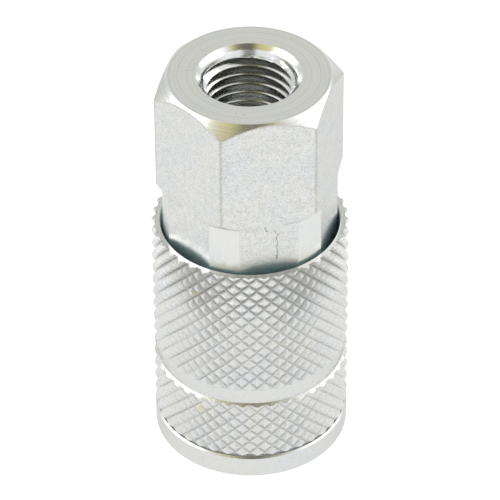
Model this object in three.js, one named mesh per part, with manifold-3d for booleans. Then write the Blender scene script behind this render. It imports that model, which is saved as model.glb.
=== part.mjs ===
// Pneumatic quick disconnect coupler, female tapered-thread end, sliding knurled release sleeve.
// Millimetres, +Z up. The origin is the centre of the socket's mouth face, and +Z runs up the bore
// towards the threaded end. Two corners of the hexagon lie on the X axis.
import * as THREE from "three";
import { mergeVertices } from "three/addons/utils/BufferGeometryUtils.js";
import Module from "manifold-3d";

const wasm = await Module();
wasm.setup();

// Driving dimensions
const LENGTH = 59.5; // mouth face to threaded face
const ACROSS_FLATS = 22.2;
const CORNER_R = ACROSS_FLATS / Math.sqrt(3);
const TURNED_R = 11.79; // hexagon corners below the wrench section
const STEP_Z = 42.6; // where the corners step down, on a short cone
const STEP_HEIGHT = 1.15;
const FACE_R = 10.82; // flat annulus at the threaded end
const FACE_CHAMFER_Z = 57.6; // where the chamfer cone reaches the corners
const ADAPTER_BOTTOM_Z = 30;

const SLEEVE_R = 13.35;
const SLEEVE_BOTTOM_Z = 0.5;
const SLEEVE_TOP_Z = 35.6;
const SLEEVE_BORE_R = 12.13;
const SLEEVE_RIM_CHAMFER = 0.4;
const SLEEVE_FOOT_CHAMFER = 0.35;
const SLEEVE_STROKE = 6;
const GROOVE_R = 12.8; // floor of the smooth grooves between the knurled zones
const FOOT_GROOVE = { low: 3.7, floorLow: 4.2, floorHigh: 4.45, high: 4.6 };
const BAND_GROOVE = { low: 13.45, floorLow: 14.05, floorHigh: 16.05, high: 16.5 };

const SOCKET_R = 10.4;
const SOCKET_TAIL_R = 9.6; // where it screws into the adapter
const SOCKET_TAIL_Z = 36;
const PLUG_BORE_R = 7.55;
const REAR_BORE_R = 8.2;
const LIP_R = 6.4; // inner shoulder that holds the packing
const LIP_LOW_Z = 15.5;
const LIP_HIGH_Z = 17;
const GUIDE_GAP = 0.1; // running clearance, and the gap between stacked pieces

const BALLS = 6;
const BALL_R = 1.984; // 5/32 in
const BALL_Z = 12;
const BALL_PITCH_R = 8.38; // ball centres, locked
const BALL_TRAVEL = 1.2;
const CAM_SLOPE = BALL_TRAVEL / SLEEVE_STROKE;

const LAND_R = SOCKET_R + GUIDE_GAP;
const SPRING_SEAT_Z = 14.6; // shoulder inside the sleeve
const SPRING_WASHER_HIGH_Z = 15.4;
const SNAP_RING_Z = 2.25;

// Valve stack inside the rear bore, from the packing up to the stem's tip
const SEAL_LOW_Z = LIP_HIGH_Z + GUIDE_GAP;
const SEAL_HIGH_Z = 20.4;
const SEAL_BORE_R = 5.7;
const SEAT_LOW_Z = SEAL_HIGH_Z + GUIDE_GAP;
const SEAT_HIGH_Z = 22.3;
const WASHER_LOW_Z = SEAT_HIGH_Z + GUIDE_GAP;
const WASHER_HIGH_Z = 23.3;
const DISC_LOW_Z = WASHER_HIGH_Z + GUIDE_GAP;
const DISC_HIGH_Z = 24.9;
const DISC_R = 6.9;
const CROWN_R = 4.3;
const STEM_R = 1.6;
const STEM_TIP_Z = 41.2;
const GUIDE_LOW_Z = 39.6;
const GUIDE_HIGH_Z = 40.9;
const CHAMBER_TOP_Z = 41;

const RING_SEGMENTS = 40;
const SMALL_SEGMENTS = 28;

// Materials
const zinc = new THREE.MeshStandardMaterial({ color: 0xc9ccca, roughness: 0.35, metalness: 1 });
const springSteel = new THREE.MeshStandardMaterial({ color: 0x9fa3a6, roughness: 0.3, metalness: 1 });
const ballSteel = new THREE.MeshStandardMaterial({ color: 0xd5d7da, roughness: 0.1, metalness: 1 });
const brass = new THREE.MeshStandardMaterial({ color: 0xc2a055, roughness: 0.35, metalness: 1 });
const rubber = new THREE.MeshStandardMaterial({ color: 0x1b1b1c, roughness: 0.75, metalness: 0 });

const coupler = new THREE.Group();

function addMesh(name, geometry, material) {
  const mesh = new THREE.Mesh(geometry, material);
  mesh.name = name;
  coupler.add(mesh);
  return mesh;
}

// Solid of revolution about Z from [radius, z] points, closed on itself or on the axis.
function lathe(points, segments = RING_SEGMENTS) {
  const closed = points[0][0] > 0 ? [...points, points[0]] : points;
  let area = 0;
  closed.forEach(([r, z], i) => {
    const [r2, z2] = closed[(i + 1) % closed.length];
    area += r * z2 - r2 * z;
  });
  const ordered = area > 0 ? closed : [...closed].reverse();
  const profile = ordered.map(([r, z]) => new THREE.Vector2(r, z));
  return new THREE.LatheGeometry(profile, segments).rotateX(Math.PI / 2);
}

// Booleans: three.js geometry in, three.js geometry out.
function solid(geometry) {
  const bare = geometry.clone();
  bare.deleteAttribute("normal");
  bare.deleteAttribute("uv");
  const merged = mergeVertices(bare, 1e-4);
  return new wasm.Manifold(
    new wasm.Mesh({
      numProp: 3,
      vertProperties: merged.attributes.position.array,
      triVerts: new Uint32Array(merged.index.array),
    }),
  );
}

function fromSolid(manifold) {
  const mesh = manifold.getMesh();
  const geometry = new THREE.BufferGeometry();
  geometry.setAttribute("position", new THREE.BufferAttribute(mesh.vertProperties, 3));
  geometry.setIndex(new THREE.BufferAttribute(mesh.triVerts, 1));
  geometry.computeVertexNormals();
  return geometry;
}

// A ring of round section, or an arc of one when sweep is under a full turn.
function roundRing(radius, wire, z, sweep = 2 * Math.PI, steps = RING_SEGMENTS, sides = 8) {
  if (sweep >= 2 * Math.PI) {
    return new THREE.TorusGeometry(radius, wire, sides, steps).translate(0, 0, z);
  }
  class RingArc extends THREE.Curve {
    getPoint(t, target = new THREE.Vector3()) {
      const angle = (t - 0.5) * sweep;
      return target.set(radius * Math.cos(angle), radius * Math.sin(angle), z);
    }
  }
  return sweepRound(new RingArc(), wire, steps, sides);
}

function sweepRound(curve, wire, steps, sides) {
  const section = new THREE.Shape();
  for (let i = 0; i < sides; i++) {
    const angle = (2 * Math.PI * i) / sides;
    const x = wire * Math.cos(angle);
    const y = wire * Math.sin(angle);
    if (i === 0) section.moveTo(x, y);
    else section.lineTo(x, y);
  }
  section.closePath();
  return new THREE.ExtrudeGeometry(section, { steps, extrudePath: curve, bevelEnabled: false });
}

// Compression spring about Z with closed end coils, from zLow to zHigh overall.
function coilSpring(radius, wire, zLow, zHigh, activeCoils, sides = 6) {
  const endCoils = 0.9;
  const coils = activeCoils + 2 * endCoils;
  const low = zLow + wire;
  const high = zHigh - wire;
  const endPitch = 2.12 * wire;
  const activeRise = high - low - 2 * endCoils * endPitch;
  class Coil extends THREE.Curve {
    getPoint(t, target = new THREE.Vector3()) {
      const turn = t * coils;
      const ending = Math.min(turn, endCoils) + Math.max(0, turn - endCoils - activeCoils);
      const active = Math.min(Math.max(turn - endCoils, 0), activeCoils) / activeCoils;
      const z = low + ending * endPitch + active * activeRise;
      const angle = 2 * Math.PI * turn;
      return target.set(radius * Math.cos(angle), radius * Math.sin(angle), z);
    }
  }
  return sweepRound(new Coil(), wire, Math.round(coils * 18), sides);
}

// Hexagonal end fitting with the tapered female thread. Its corners are turned down below the wrench
// section, and the sleeve rides over them.
function adapterGeometry() {
  const portDepth = 13.5;
  const taper = 1 / 32; // on the radius
  const portMouthR = 6.2; // pitch radius of the thread at the face
  const countersinkR = 7;
  const portBottomZ = LENGTH - portDepth;
  const portBottomR = portMouthR - portDepth * taper;
  const countersinkDepth = countersinkR - portMouthR;
  const reliefDepth = 1.2; // cone below the thread
  const throughR = 4;
  const counterboreTopZ = SOCKET_TAIL_Z + 1.4;
  const tailBoreR = SOCKET_TAIL_R + GUIDE_GAP;
  const envelope = lathe([
    [0, ADAPTER_BOTTOM_Z],
    [TURNED_R - 0.5, ADAPTER_BOTTOM_Z],
    [TURNED_R, ADAPTER_BOTTOM_Z + 0.5],
    [TURNED_R, STEP_Z],
    [CORNER_R + 0.01, STEP_Z + STEP_HEIGHT],
    [CORNER_R + 0.01, FACE_CHAMFER_Z],
    [FACE_R, LENGTH],
    [0, LENGTH],
  ]);
  const hexHeight = LENGTH - ADAPTER_BOTTOM_Z + 2;
  const hexagon = new THREE.CylinderGeometry(CORNER_R, CORNER_R, hexHeight, 6);
  hexagon.rotateY(Math.PI / 2).rotateX(Math.PI / 2).translate(0, 0, (LENGTH + ADAPTER_BOTTOM_Z) / 2);
  const bore = lathe([
    [0, ADAPTER_BOTTOM_Z - 1],
    [tailBoreR, ADAPTER_BOTTOM_Z - 1],
    [tailBoreR, counterboreTopZ],
    [REAR_BORE_R, counterboreTopZ],
    [REAR_BORE_R, CHAMBER_TOP_Z],
    [throughR, CHAMBER_TOP_Z],
    [throughR, portBottomZ - reliefDepth],
    [portBottomR, portBottomZ],
    [portMouthR, LENGTH - countersinkDepth],
    [countersinkR, LENGTH],
    [countersinkR, LENGTH + 1],
    [0, LENGTH + 1],
  ]);
  return fromSolid(solid(hexagon).intersect(solid(envelope)).subtract(solid(bore)));
}

// Tube that the plug enters, with tapered ball holes, a snap ring groove and a tail for the adapter.
function socketGeometry() {
  const shoulderZ = ADAPTER_BOTTOM_Z - 0.3;
  const ringGrooveR = 9.75;
  const ringGrooveHalf = 0.65;
  const mouthLeadIn = 1.15;
  const edge = 0.5;
  const body = lathe([
    [PLUG_BORE_R + mouthLeadIn, 0],
    [SOCKET_R - edge, 0],
    [SOCKET_R, edge],
    [SOCKET_R, SNAP_RING_Z - ringGrooveHalf],
    [ringGrooveR, SNAP_RING_Z - ringGrooveHalf],
    [ringGrooveR, SNAP_RING_Z + ringGrooveHalf],
    [SOCKET_R, SNAP_RING_Z + ringGrooveHalf],
    [SOCKET_R, shoulderZ],
    [SOCKET_TAIL_R, shoulderZ],
    [SOCKET_TAIL_R, SOCKET_TAIL_Z],
    [REAR_BORE_R, SOCKET_TAIL_Z],
    [REAR_BORE_R, LIP_HIGH_Z],
    [LIP_R, LIP_HIGH_Z],
    [LIP_R, LIP_LOW_Z],
    [PLUG_BORE_R, LIP_LOW_Z],
    [PLUG_BORE_R, mouthLeadIn],
  ]);
  let made = solid(body);
  const hole = ballHole();
  for (let i = 0; i < BALLS; i++) {
    const cutter = hole.clone().rotateZ(ballAngle(i)).translate(0, 0, BALL_Z);
    made = made.subtract(solid(cutter));
  }
  return fromSolid(made);
}

// Radial hole that narrows at the bore, so that its ball can't fall in.
function ballHole() {
  const wideR = BALL_R + 0.08;
  const narrowR = 1.52;
  const innerEnd = 6;
  const outerEnd = 12;
  const wideStart = BALL_PITCH_R - 0.18;
  const outline = [
    [0, innerEnd],
    [narrowR, innerEnd],
    [wideR, wideStart],
    [wideR, outerEnd],
    [0, outerEnd],
  ];
  return lathe(outline, 20).rotateY(Math.PI / 2);
}

function ballAngle(i) {
  return (2 * Math.PI * i) / BALLS + Math.PI / BALLS;
}

function groovePoints({ low, floorLow, floorHigh, high }) {
  return [
    [SLEEVE_R, low],
    [GROOVE_R, floorLow],
    [GROOVE_R, floorHigh],
    [SLEEVE_R, high],
  ];
}

// Release sleeve: knurled zones as plain cylinders at the crest, smooth grooves, and the ball cam inside.
function sleeveGeometry() {
  const camStartZ = BALL_Z - 0.2;
  const camEndZ = BALL_Z - SLEEVE_STROKE - 1; // the pulled-back sleeve clears each ball's lower half
  const releaseR = LAND_R + (camStartZ - camEndZ) * CAM_SLOPE;
  const camEndBevel = 0.8;
  const recessR = 11.35; // room for the snap ring
  const recessTopZ = 3;
  return lathe([
    [recessR, SLEEVE_BOTTOM_Z],
    [SLEEVE_R - SLEEVE_FOOT_CHAMFER, SLEEVE_BOTTOM_Z],
    [SLEEVE_R, SLEEVE_BOTTOM_Z + SLEEVE_FOOT_CHAMFER],
    ...groovePoints(FOOT_GROOVE),
    ...groovePoints(BAND_GROOVE),
    [SLEEVE_R, SLEEVE_TOP_Z - SLEEVE_RIM_CHAMFER],
    [SLEEVE_R - SLEEVE_RIM_CHAMFER, SLEEVE_TOP_Z],
    [SLEEVE_BORE_R, SLEEVE_TOP_Z],
    [SLEEVE_BORE_R, SPRING_SEAT_Z],
    [LAND_R, SPRING_SEAT_Z],
    [LAND_R, camStartZ],
    [releaseR, camEndZ],
    [LAND_R, camEndZ - camEndBevel],
    [LAND_R, recessTopZ],
    [recessR, recessTopZ],
  ]);
}

// Locking ball as a faceted sphere inside the true one.
function ballGeometry(i) {
  const ball = new THREE.SphereGeometry(BALL_R, 12, 8);
  const angle = ballAngle(i);
  return ball.translate(BALL_PITCH_R * Math.cos(angle), BALL_PITCH_R * Math.sin(angle), BALL_Z);
}

// Lipped rubber packing that seals on the plug's nose.
function plugSealGeometry() {
  const outerR = REAR_BORE_R - 0.15;
  const lipTipR = 6.9;
  const notchR = 7.4;
  const notchDepth = 0.7;
  const throatTopR = 6.3;
  const throatZ = 19.2;
  const outline = [
    [SEAL_BORE_R, SEAL_LOW_Z],
    [lipTipR, SEAL_LOW_Z],
    [notchR, SEAL_LOW_Z + notchDepth],
    [outerR, SEAL_LOW_Z],
    [outerR, SEAL_HIGH_Z],
    [throatTopR, SEAL_HIGH_Z],
    [SEAL_BORE_R, throatZ],
  ];
  return lathe(outline, SMALL_SEGMENTS);
}

// Brass washer that backs the packing; its raised rim is the valve seat.
function valveSeatGeometry() {
  const boreR = 5.9;
  const rimR = 6.5;
  const rimHeight = 0.4;
  const flangeR = REAR_BORE_R - GUIDE_GAP;
  const outline = [
    [boreR, SEAT_LOW_Z],
    [flangeR, SEAT_LOW_Z],
    [flangeR, SEAT_HIGH_Z - rimHeight],
    [rimR + rimHeight, SEAT_HIGH_Z - rimHeight],
    [rimR, SEAT_HIGH_Z],
    [boreR, SEAT_HIGH_Z],
  ];
  return lathe(outline, SMALL_SEGMENTS);
}

// Poppet: slotted crown that the plug pushes, disc behind the rubber washer, and guide stem.
function poppetGeometry() {
  const crownBoreR = 2.9;
  const crownBoreTopZ = 21.6;
  const crownTipZ = 17.6;
  const crownEdge = 0.3;
  const bossR = 3.4; // centres the valve spring
  const bossTopZ = 26.4;
  const outline = [
    [0, crownBoreTopZ],
    [crownBoreR, crownBoreTopZ],
    [crownBoreR, crownTipZ],
    [CROWN_R - crownEdge, crownTipZ],
    [CROWN_R, crownTipZ + crownEdge],
    [CROWN_R, DISC_LOW_Z],
    [DISC_R, DISC_LOW_Z],
    [DISC_R, DISC_HIGH_Z],
    [bossR, DISC_HIGH_Z],
    [bossR, bossTopZ],
    [STEM_R, bossTopZ],
    [STEM_R, STEM_TIP_Z],
    [0, STEM_TIP_Z],
  ];
  let made = solid(lathe(outline, SMALL_SEGMENTS));
  const slotWidth = 2.2;
  const slotLowZ = crownTipZ - 0.1;
  const slotHighZ = 20.7;
  for (const turn of [0, Math.PI / 2]) {
    const slot = new THREE.BoxGeometry(3 * CROWN_R, slotWidth, slotHighZ - slotLowZ);
    slot.rotateZ(turn).translate(0, 0, (slotLowZ + slotHighZ) / 2);
    made = made.subtract(solid(slot));
  }
  return fromSolid(made);
}

function flatRing(innerR, outerR, lowZ, highZ, segments) {
  const outline = [
    [innerR, lowZ],
    [outerR, lowZ],
    [outerR, highZ],
    [innerR, highZ],
  ];
  return lathe(outline, segments);
}

// Three-armed guide under the adapter's shoulder: it seats the valve spring and steers the stem.
function springGuideGeometry() {
  const arms = 3;
  const boreR = STEM_R + 0.15;
  const rimR = REAR_BORE_R - 0.15;
  const portOuterR = 6.6;
  const portInnerR = 3;
  const halfPort = Math.PI / arms - 0.32;
  let made = solid(flatRing(boreR, rimR, GUIDE_LOW_Z, GUIDE_HIGH_Z, 30));
  for (let i = 0; i < arms; i++) {
    const port = new THREE.Shape();
    port.absarc(0, 0, portOuterR, -halfPort, halfPort, false);
    port.absarc(0, 0, portInnerR, halfPort, -halfPort, true);
    port.closePath();
    const cutter = new THREE.ExtrudeGeometry(port, { depth: 3, bevelEnabled: false, curveSegments: 6 });
    cutter.translate(0, 0, GUIDE_LOW_Z - 1).rotateZ((2 * Math.PI * i) / arms);
    made = made.subtract(solid(cutter));
  }
  return fromSolid(made);
}

// Sleeve spring between its washer and the adapter, and valve spring between the disc and the guide.
function sleeveSpringGeometry() {
  return coilSpring(11.1, 0.5, SPRING_WASHER_HIGH_Z + GUIDE_GAP, ADAPTER_BOTTOM_Z - GUIDE_GAP, 4.5);
}

function valveSpringGeometry() {
  return coilSpring(4.1, 0.4, DISC_HIGH_Z + GUIDE_GAP, GUIDE_LOW_Z - GUIDE_GAP, 5);
}

function springWasherGeometry() {
  const boreR = SOCKET_R + 0.15;
  const rimR = SLEEVE_BORE_R - 0.23;
  return flatRing(boreR, rimR, SPRING_SEAT_Z + GUIDE_GAP, SPRING_WASHER_HIGH_Z);
}

function snapRingGeometry() {
  const wire = 0.55;
  const sweep = 2 * Math.PI * 0.93;
  return roundRing(SOCKET_R, wire, SNAP_RING_Z, sweep, 34, 6);
}

function bodyRingGeometry() {
  const wire = 0.55;
  return roundRing(9, wire, SOCKET_TAIL_Z + 0.7, 2 * Math.PI, SMALL_SEGMENTS, 8);
}

function valveWasherGeometry() {
  return flatRing(CROWN_R + GUIDE_GAP, DISC_R, WASHER_LOW_Z, WASHER_HIGH_Z, SMALL_SEGMENTS);
}

addMesh("adapter", adapterGeometry(), zinc);
addMesh("socket_body", socketGeometry(), zinc);
addMesh("sleeve", sleeveGeometry(), zinc);
addMesh("sleeve_spring_washer", springWasherGeometry(), springSteel);
addMesh("sleeve_spring", sleeveSpringGeometry(), springSteel);
addMesh("retaining_ring", snapRingGeometry(), springSteel);
for (let i = 0; i < BALLS; i++) addMesh(`locking_ball_${i + 1}`, ballGeometry(i), ballSteel);
addMesh("body_o_ring", bodyRingGeometry(), rubber);
addMesh("plug_seal", plugSealGeometry(), rubber);
addMesh("valve_seat", valveSeatGeometry(), brass);
addMesh("valve_poppet", poppetGeometry(), brass);
addMesh("valve_washer", valveWasherGeometry(), rubber);
addMesh("valve_spring", valveSpringGeometry(), springSteel);
addMesh("valve_spring_guide", springGuideGeometry(), brass);

export default coupler;
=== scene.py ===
"""Quick disconnect coupler: fine meshes, materials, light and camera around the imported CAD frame.

Shapes are worked out in millimetres and turned into metres when a mesh is made. +Z runs up the bore
from the mouth to the threaded end, and two corners of the hexagon lie on the X axis.
"""
import math

import bmesh
import bpy
import numpy as np
from mathutils import Matrix, Vector, noise


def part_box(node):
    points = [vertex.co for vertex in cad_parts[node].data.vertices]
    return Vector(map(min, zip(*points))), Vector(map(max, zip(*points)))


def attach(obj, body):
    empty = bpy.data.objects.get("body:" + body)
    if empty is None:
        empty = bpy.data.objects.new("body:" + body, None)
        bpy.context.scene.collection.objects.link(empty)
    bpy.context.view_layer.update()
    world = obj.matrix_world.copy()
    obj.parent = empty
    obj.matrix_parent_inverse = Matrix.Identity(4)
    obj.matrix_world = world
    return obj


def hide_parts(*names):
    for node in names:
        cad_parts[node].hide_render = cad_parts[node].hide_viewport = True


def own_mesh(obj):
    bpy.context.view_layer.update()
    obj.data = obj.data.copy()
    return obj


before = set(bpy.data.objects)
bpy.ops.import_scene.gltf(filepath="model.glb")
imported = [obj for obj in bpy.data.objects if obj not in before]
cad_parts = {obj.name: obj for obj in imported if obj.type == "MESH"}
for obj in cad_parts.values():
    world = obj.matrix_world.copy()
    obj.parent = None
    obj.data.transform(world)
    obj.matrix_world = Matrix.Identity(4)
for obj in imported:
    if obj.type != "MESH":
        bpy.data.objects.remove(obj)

MM = 0.001
TURN = 2 * math.pi
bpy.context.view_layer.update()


def box_mm(node):
    """Lowest and highest corner of a CAD node in millimetres."""
    low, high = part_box(node)
    return [v / MM for v in low], [v / MM for v in high]


# Driving dimensions, from the frame where its boxes give them
ADAPTER_LOW, ADAPTER_HIGH = box_mm("adapter")
LENGTH = ADAPTER_HIGH[2]
CORNER_R = ADAPTER_HIGH[0]
FLAT_R = ADAPTER_HIGH[1]  # half across the flats
ADAPTER_BOTTOM = ADAPTER_LOW[2]
TURNED_R = 11.79
STEP_Z = 42.6
STEP_HEIGHT = 1.15
FACE_R = 10.82
FACE_CHAMFER_Z = 57.6
CHAMFER_SLOPE = (LENGTH - FACE_CHAMFER_Z) / (CORNER_R - FACE_R)
CORNER_FILLET = 0.22
COUNTERSINK_R = 7.0
THREAD_PITCH = 25.4 / 18
THREAD_MAJOR_R = 6.81  # at the face
THREAD_MINOR_R = 5.68
THREAD_TAPER = 1 / 32  # on the radius
THREAD_DEPTH = 13.5
THREAD_PHASE = 0.35  # shares of a pitch that the thread is turned by
LEAD_R = 6.38  # steeper cone between the countersink and the first full thread
LEAD_SLOPE = 0.47
LEAD_DEPTH = 1.35
THROUGH_R = 4.0
REAR_BORE_R = 8.2
CHAMBER_TOP_Z = 41.0
TAIL_BORE_R = 9.7
TAIL_BORE_TOP_Z = 37.4

SLEEVE_LOW, SLEEVE_HIGH = box_mm("sleeve")
SLEEVE_R = SLEEVE_HIGH[0]
SLEEVE_BOTTOM = SLEEVE_LOW[2]
SLEEVE_TOP = SLEEVE_HIGH[2]
SLEEVE_BORE_R = 12.13
RING_R = SLEEVE_R - 0.02
RING_TOP_R = 13.09
RING_TOP_Z = 3.99
GROOVE_R = 12.7
GROOVE_TOP_Z = 4.38
BAND_R = 12.88
BAND_TOP_Z = 16.08
BEVEL_Z = 13.2
BEVEL_WIDTH = SLEEVE_R - BAND_R
BEVEL_RISE = 0.84 * BEVEL_WIDTH
KNURL_STARTS = 40
KNURL_PITCH_Z = 2.12  # rise of a groove over one circumferential pitch
KNURL_NODE_ANGLE = math.radians(-103.8)  # where two grooves cross
KNURL_NODE_Z = 8.85
KNURL_STEPS = 12  # mesh steps per pitch
KNURL_CREST = 0.43  # height of a whole pyramid where the knurl is blunt
KNURL_DEPTH = 0.31  # how much of it is cut there
VALLEY_DROP = 0.5  # drop at which the skin counts as a valley
KNURLED = 0.999  # crest values below this are knurled skin
UNTURNED = 99.0  # a knurled row's limit where nothing was turned off

BALLS = 6
BALL_R = 1.984
BALL_CENTRES = [[(a + b) / 2 for a, b in zip(*box_mm(f"locking_ball_{k + 1}"))] for k in range(BALLS)]
BALL_Z = BALL_CENTRES[0][2]
SOCKET_R = 10.4
PLUG_BORE_R = 7.55


# ---------------------------------------------------------------- outlines


def fillet(before, corner, after, radius, steps):
    """Points of an arc that rounds a corner of an outline, with a support point at each side."""
    a, c, b = np.array(before, float), np.array(corner, float), np.array(after, float)
    to_a, to_b = a - c, b - c
    length_a, length_b = np.linalg.norm(to_a), np.linalg.norm(to_b)
    if length_a < 1e-6 or length_b < 1e-6:
        return [tuple(c)] * (steps + 3)
    to_a, to_b = to_a / length_a, to_b / length_b
    angle = math.acos(max(-1.0, min(1.0, float(to_a @ to_b))))
    if math.pi - angle < 0.02 or radius <= 0:
        return [tuple(c)] * (steps + 3)
    reach = min(radius / math.tan(angle / 2), 0.4 * length_a, 0.4 * length_b)
    radius = reach * math.tan(angle / 2)
    bisector = to_a + to_b
    bisector /= np.linalg.norm(bisector)
    centre = c + bisector * radius / math.sin(angle / 2)
    start, end = c + to_a * reach, c + to_b * reach
    points = [tuple(start + to_a * reach * 0.25)]
    sweep = math.pi - angle
    for i in range(steps + 1):
        t = i / steps
        along = (math.sin((1 - t) * sweep) * (start - centre) + math.sin(t * sweep) * (end - centre))
        points.append(tuple(centre + along / math.sin(sweep)))
    points.append(tuple(end + to_b * reach * 0.25))
    return points


def rounded(points, radius, steps=3):
    """A closed outline of (r, z) points with every corner rounded."""
    made = []
    count = len(points)
    for i, point in enumerate(points):
        made += fillet(points[i - 1], point, points[(i + 1) % count], radius, steps)
    return made


# ---------------------------------------------------------------- meshes


def grid_quads(rows, columns, closed_rows, closed_columns):
    """Quads of a grid whose vertex (row, column) has number row * columns + column."""
    r = np.arange(rows if closed_rows else rows - 1)
    c = np.arange(columns if closed_columns else columns - 1)
    r, c = np.meshgrid(r, c, indexing="ij")
    r2, c2 = (r + 1) % rows, (c + 1) % columns
    quads = np.stack([r * columns + c, r * columns + c2, r2 * columns + c2, r2 * columns + c], axis=-1)
    return quads.reshape(-1, 4)


def new_object(name, vertices, faces, sharp_degrees=35, values=None, weld=False):
    """A mesh object from points in millimetres, with its outside facing out."""
    mesh = bpy.data.meshes.new(name)
    mesh.from_pydata((np.asarray(vertices, float) * MM).tolist(), [], [list(map(int, f)) for f in faces])
    for key, numbers in (values or {}).items():
        layer = mesh.attributes.new(key, "FLOAT", "POINT")
        layer.data.foreach_set("value", np.asarray(numbers, np.float32))
    work = bmesh.new()
    work.from_mesh(mesh)
    if weld:
        bmesh.ops.remove_doubles(work, verts=work.verts, dist=2e-6)
        bmesh.ops.dissolve_degenerate(work, edges=work.edges, dist=1e-7)
    bmesh.ops.recalc_face_normals(work, faces=work.faces)
    work.to_mesh(mesh)
    work.free()
    mesh.shade_smooth()
    mesh.set_sharp_from_angle(angle=math.radians(sharp_degrees))
    made = bpy.data.objects.new(name, mesh)
    bpy.context.scene.collection.objects.link(made)
    return made


def settle(piece, body, slot, materials, *nodes):
    """Gives a piece its materials and its body, and hides the CAD nodes it stands for. The slot is not
    used.
    """
    for material in materials:
        piece.data.materials.append(material)
    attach(piece, body)
    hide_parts(*nodes)
    return piece


def revolve(outline, columns=144):
    """Vertices and quads of a closed (r, z) outline turned about Z."""
    angles = np.arange(columns) * TURN / columns
    outline = np.array(outline, float)
    r, z = outline[:, :1], outline[:, 1:]
    x, y = r * np.cos(angles), r * np.sin(angles)
    vertices = np.stack([x, y, np.broadcast_to(z, x.shape)], axis=-1).reshape(-1, 3)
    return vertices, grid_quads(len(outline), columns, True, True)


def turned_object(name, outline, radius=0.12, columns=144, steps=3, weld=False):
    """A solid of revolution. Corners on the axis stay sharp and are welded there."""
    vertices, quads = revolve(rounded(outline, radius, steps), columns)
    return new_object(name, vertices, quads, weld=weld)


def tube(name, path, radius, sides=14, closed=False, flatten=None):
    """A round wire along a list of points, its ends domed when it isn't closed."""
    path = np.array(path, float)
    count = len(path)
    if closed:
        tangents = np.roll(path, -1, axis=0) - np.roll(path, 1, axis=0)
    else:
        tangents = np.gradient(path, axis=0)
    tangents /= np.linalg.norm(tangents, axis=1)[:, None]
    up = np.array([0, 0, 1.0])
    side = np.cross(tangents, up)
    side /= np.linalg.norm(side, axis=1)[:, None]
    lift = np.cross(side, tangents)
    radii = np.full(count, radius)
    if not closed:
        dome = [0.0, 0.45, 0.8, 0.97]
        radii[: len(dome)] *= dome
        radii[-len(dome):] *= dome[::-1]
    angles = np.arange(sides) * TURN / sides
    ring = side[:, None] * np.cos(angles)[:, None] + lift[:, None] * np.sin(angles)[:, None]
    vertices = path[:, None] + ring * radii[:, None, None]
    if flatten is not None:
        vertices[..., 2] = np.clip(vertices[..., 2], *flatten)
    quads = grid_quads(count, sides, closed, True)
    return new_object(name, vertices.reshape(-1, 3), quads, sharp_degrees=50, weld=not closed)


def cut(piece, cutters):
    """Cuts solids out of a piece and removes them."""
    for cutter in cutters:
        modifier = piece.modifiers.new("cut", "BOOLEAN")
        modifier.operation = "DIFFERENCE"
        modifier.solver = "EXACT"
        modifier.object = cutter
    depsgraph = bpy.context.evaluated_depsgraph_get()
    made = bpy.data.meshes.new_from_object(piece.evaluated_get(depsgraph))
    piece.modifiers.clear()
    piece.data = made
    made.shade_smooth()
    made.set_sharp_from_angle(angle=math.radians(30))
    for cutter in cutters:
        bpy.data.objects.remove(cutter)
    return piece


# ---------------------------------------------------------------- materials


class Nodes:
    """A node tree built by short calls. Values are sockets or numbers, and colours may be triples."""

    def __init__(self, tree):
        self.tree = tree

    def node(self, kind, **settings):
        made = self.tree.nodes.new(kind)
        for key, value in settings.items():
            setattr(made, key, value)
        return made

    def link(self, source, target):
        self.tree.links.new(source, target)

    def put(self, target, value):
        if isinstance(value, bpy.types.NodeSocket):
            self.link(value, target)
        else:
            target.default_value = value

    def math(self, operation, *values):
        made = self.node("ShaderNodeMath", operation=operation)
        for socket, value in zip(made.inputs, values):
            self.put(socket, value)
        return made.outputs[0]

    def dot(self, vector, direction):
        made = self.node("ShaderNodeVectorMath", operation="DOT_PRODUCT")
        self.put(made.inputs[0], vector)
        self.put(made.inputs[1], direction)
        return made.outputs["Value"]

    def mix(self, factor, a, b):
        """Blends two colours."""
        made = self.node("ShaderNodeMix", data_type="RGBA")
        self.put(made.inputs["Factor"], factor)
        for socket, value in ((made.inputs[6], a), (made.inputs[7], b)):
            self.put(socket, (*value, 1) if isinstance(value, tuple) else value)
        return made.outputs[2]

    def span(self, value, low, high, to_low=0.0, to_high=1.0, curve="LINEAR"):
        """Maps low..high to to_low..to_high, held at the ends."""
        made = self.node("ShaderNodeMapRange", clamp=True, interpolation_type=curve)
        for socket, number in zip(made.inputs, (value, low, high, to_low, to_high)):
            self.put(socket, number)
        return made.outputs[0]


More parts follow.
